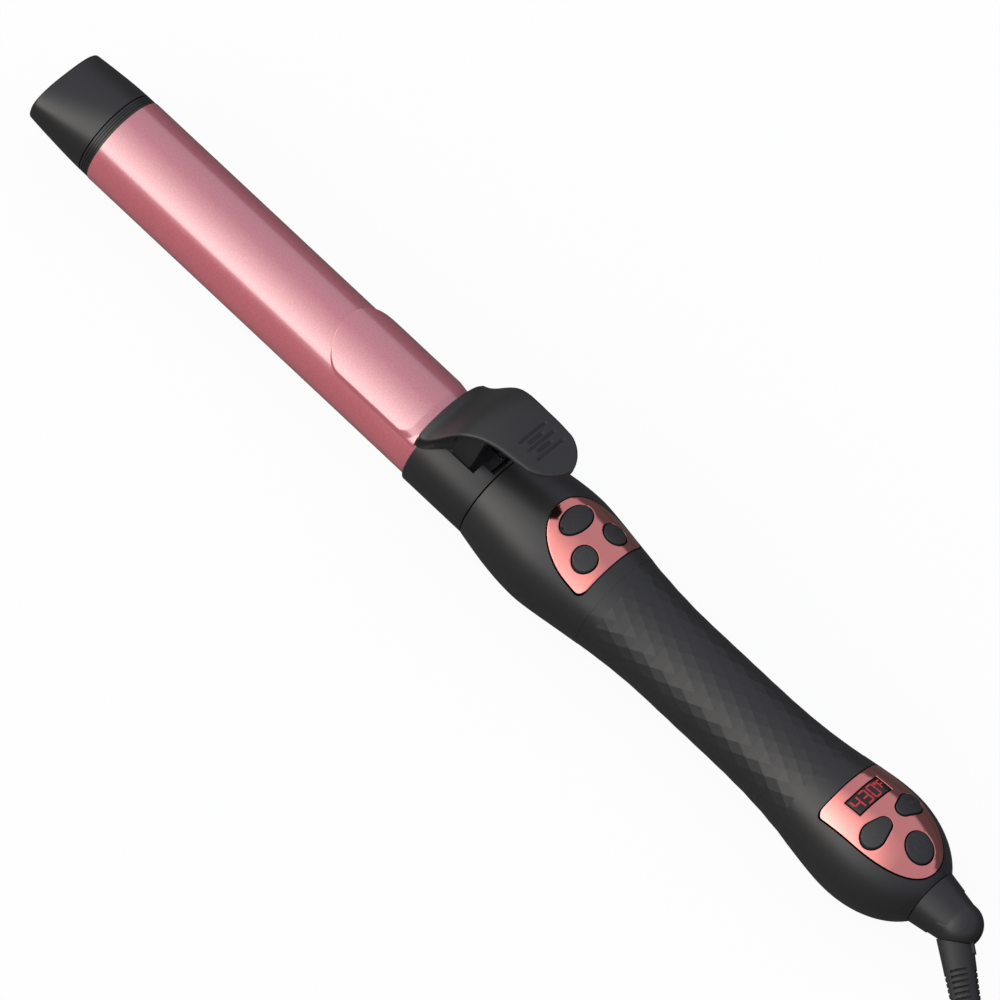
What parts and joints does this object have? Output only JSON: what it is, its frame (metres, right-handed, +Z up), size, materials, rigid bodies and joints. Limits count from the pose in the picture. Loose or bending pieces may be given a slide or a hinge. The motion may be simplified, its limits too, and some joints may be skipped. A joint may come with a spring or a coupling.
{
  "type": "rotating curling iron",
  "caption": "Rotating curling iron: a round heated barrel turned by a motor, with a sprung clamp, thumb lever, waisted diamond-faceted handle with button panels, and a swivelling cord.",
  "frame": {"origin": "middle of the iron's box, without its cord ends, on the surface that the handle's bulges lie on", "axes": "+X along the barrel's axis from the cool tip toward the cord, +Z up out of the button panels"},
  "size_m": [0.6871, 0.0628, 0.0595],
  "materials": {
    "black_shell": "satin moulded",
    "black_tip": "satin moulded",
    "lever_black": "satin moulded",
    "button_black": "satin moulded",
    "pink_barrel": "satin metallic coating",
    "rose_panel": "mirror-like rose plating",
    "window_dark": "glossy",
    "boot_black": "soft matte",
    "cord_black": "soft matte",
    "plug_black": "soft matte",
    "tie_black": "satin",
    "blade_brass": "nickel plated",
    "inner_plastic": "plain moulded",
    "pale_plastic": "plain moulded",
    "bearing_bronze": "sintered",
    "steel": "plain",
    "steel_pin": "polished",
    "shoe_metal": "extruded",
    "ceramic": "ceramic heater in foil",
    "lead_red": "insulated wire",
    "ring_brass": "turned",
    "carbon": "carbon",
    "gear_pale": "moulded acetal",
    "board_green": "circuit board",
    "display_body": "plain moulded"
  },
  "bodies": {
    "handle": {"upper_shell": "black_shell", "lower_shell": "black_shell", "front_bearing": "pale_plastic", "rear_bearing": "bearing_bronze", "motor_bracket": "steel", "gearbox_case": "ring_brass", "motor_can": "steel", "brush_block": "inner_plastic", "brushes": "carbon", "upper_panel": "rose_panel", "lower_panel": "rose_panel", "display_window": "window_dark", "display_module": "display_body", "upper_board": "board_green", "upper_switches": "display_body", "lower_board": "board_green", "lower_switches": "display_body", "main_board": "board_green", "power_parts": "pale_plastic", "board_screws": "steel", "housing_screws": "steel"},
    "barrel": {"cool_tip": "black_tip", "tip_ring": "black_tip", "barrel_tube": "pink_barrel", "heater_bar": "ceramic", "heater_shoes": "shoe_metal", "thermal_sensor": "ceramic", "heater_leads": "lead_red", "barrel_hub": "inner_plastic", "collar": "black_shell", "hub_screws": "steel", "hinge_pin": "steel_pin", "lever_spring": "steel_pin", "drive_shaft": "steel", "shaft_clip": "steel", "drive_gear": "gear_pale", "slip_ring_drum": "inner_plastic", "slip_rings": "ring_brass"},
    "clamp": {"clamp_plate": "pink_barrel", "thumb_lever": "lever_black", "clamp_rivets": "steel_pin"},
    "pinion": {"motor_pinion": "ring_brass"},
    "curl_key": {"curl_button": "button_black"},
    "left_key": {"left_button": "button_black"},
    "right_key": {"right_button": "button_black"},
    "heat_up_key": {"heat_up_button": "button_black"},
    "heat_down_key": {"heat_down_button": "button_black"},
    "power_key": {"power_button": "button_black"},
    "swivel": {"swivel_body": "black_shell", "swivel_clip": "steel", "boot_pin": "black_shell"},
    "boot": {"cord_boot": "boot_black", "cord_lead": "cord_black", "cord_hank": "cord_black", "cord_tie": "tie_black", "plug_body": "plug_black", "plug_blades": "blade_brass"}
  },
  "joints": [
    {"name": "barrel_spin", "type": "hinge", "parent": "handle", "child": "barrel", "pos_m": [-0.00632, 0, 0.0207], "axis": [1, 0, 0], "continuous": true},
    {"name": "clamp_open", "type": "hinge", "parent": "barrel", "child": "clamp", "pos_m": [-0.02303, 0, 0.034], "axis": [0, 1, 0], "range_deg": [0, 20], "stiffness_Nm_per_rad": 0.25, "springref_deg": -34.38, "deforming": ["lever_spring"]},
    {"name": "pinion_spin", "type": "hinge", "parent": "handle", "child": "pinion", "pos_m": [0.02368, 0, 0.01265], "axis": [1, 0, 0], "continuous": true},
    {"name": "curl_press", "type": "slide", "parent": "handle", "child": "curl_key", "axis": [0, 0, -1], "range_m": [0, 0.0006], "stiffness_N_per_m": 900, "springref_m": -0.0008},
    {"name": "left_press", "type": "slide", "parent": "handle", "child": "left_key", "axis": [0, 0, -1], "range_m": [0, 0.0006], "stiffness_N_per_m": 900, "springref_m": -0.0008},
    {"name": "right_press", "type": "slide", "parent": "handle", "child": "right_key", "axis": [0, 0, -1], "range_m": [0, 0.0006], "stiffness_N_per_m": 900, "springref_m": -0.0008},
    {"name": "heat_up_press", "type": "slide", "parent": "handle", "child": "heat_up_key", "axis": [0, 0, -1], "range_m": [0, 0.0006], "stiffness_N_per_m": 900, "springref_m": -0.0008},
    {"name": "heat_down_press", "type": "slide", "parent": "handle", "child": "heat_down_key", "axis": [0, 0, -1], "range_m": [0, 0.0006], "stiffness_N_per_m": 900, "springref_m": -0.0008},
    {"name": "power_press", "type": "slide", "parent": "handle", "child": "power_key", "axis": [0, 0, -1], "range_m": [0, 0.0006], "stiffness_N_per_m": 900, "springref_m": -0.0008},
    {"name": "cord_swivel", "type": "hinge", "parent": "handle", "child": "swivel", "pos_m": [0.18368, 0, 0.0207], "axis": [1, 0, 0], "continuous": true},
    {"name": "boot_pivot", "type": "hinge", "parent": "swivel", "child": "boot", "pos_m": [0.19487, 0, 0.0207], "axis": [0, -0.5249, 0.8512], "range_deg": [0, 91.5]}
  ],
  "couplings": [
    {"joint": "pinion_spin", "follows": "barrel_spin", "ratio": -1.6667}
  ]
}
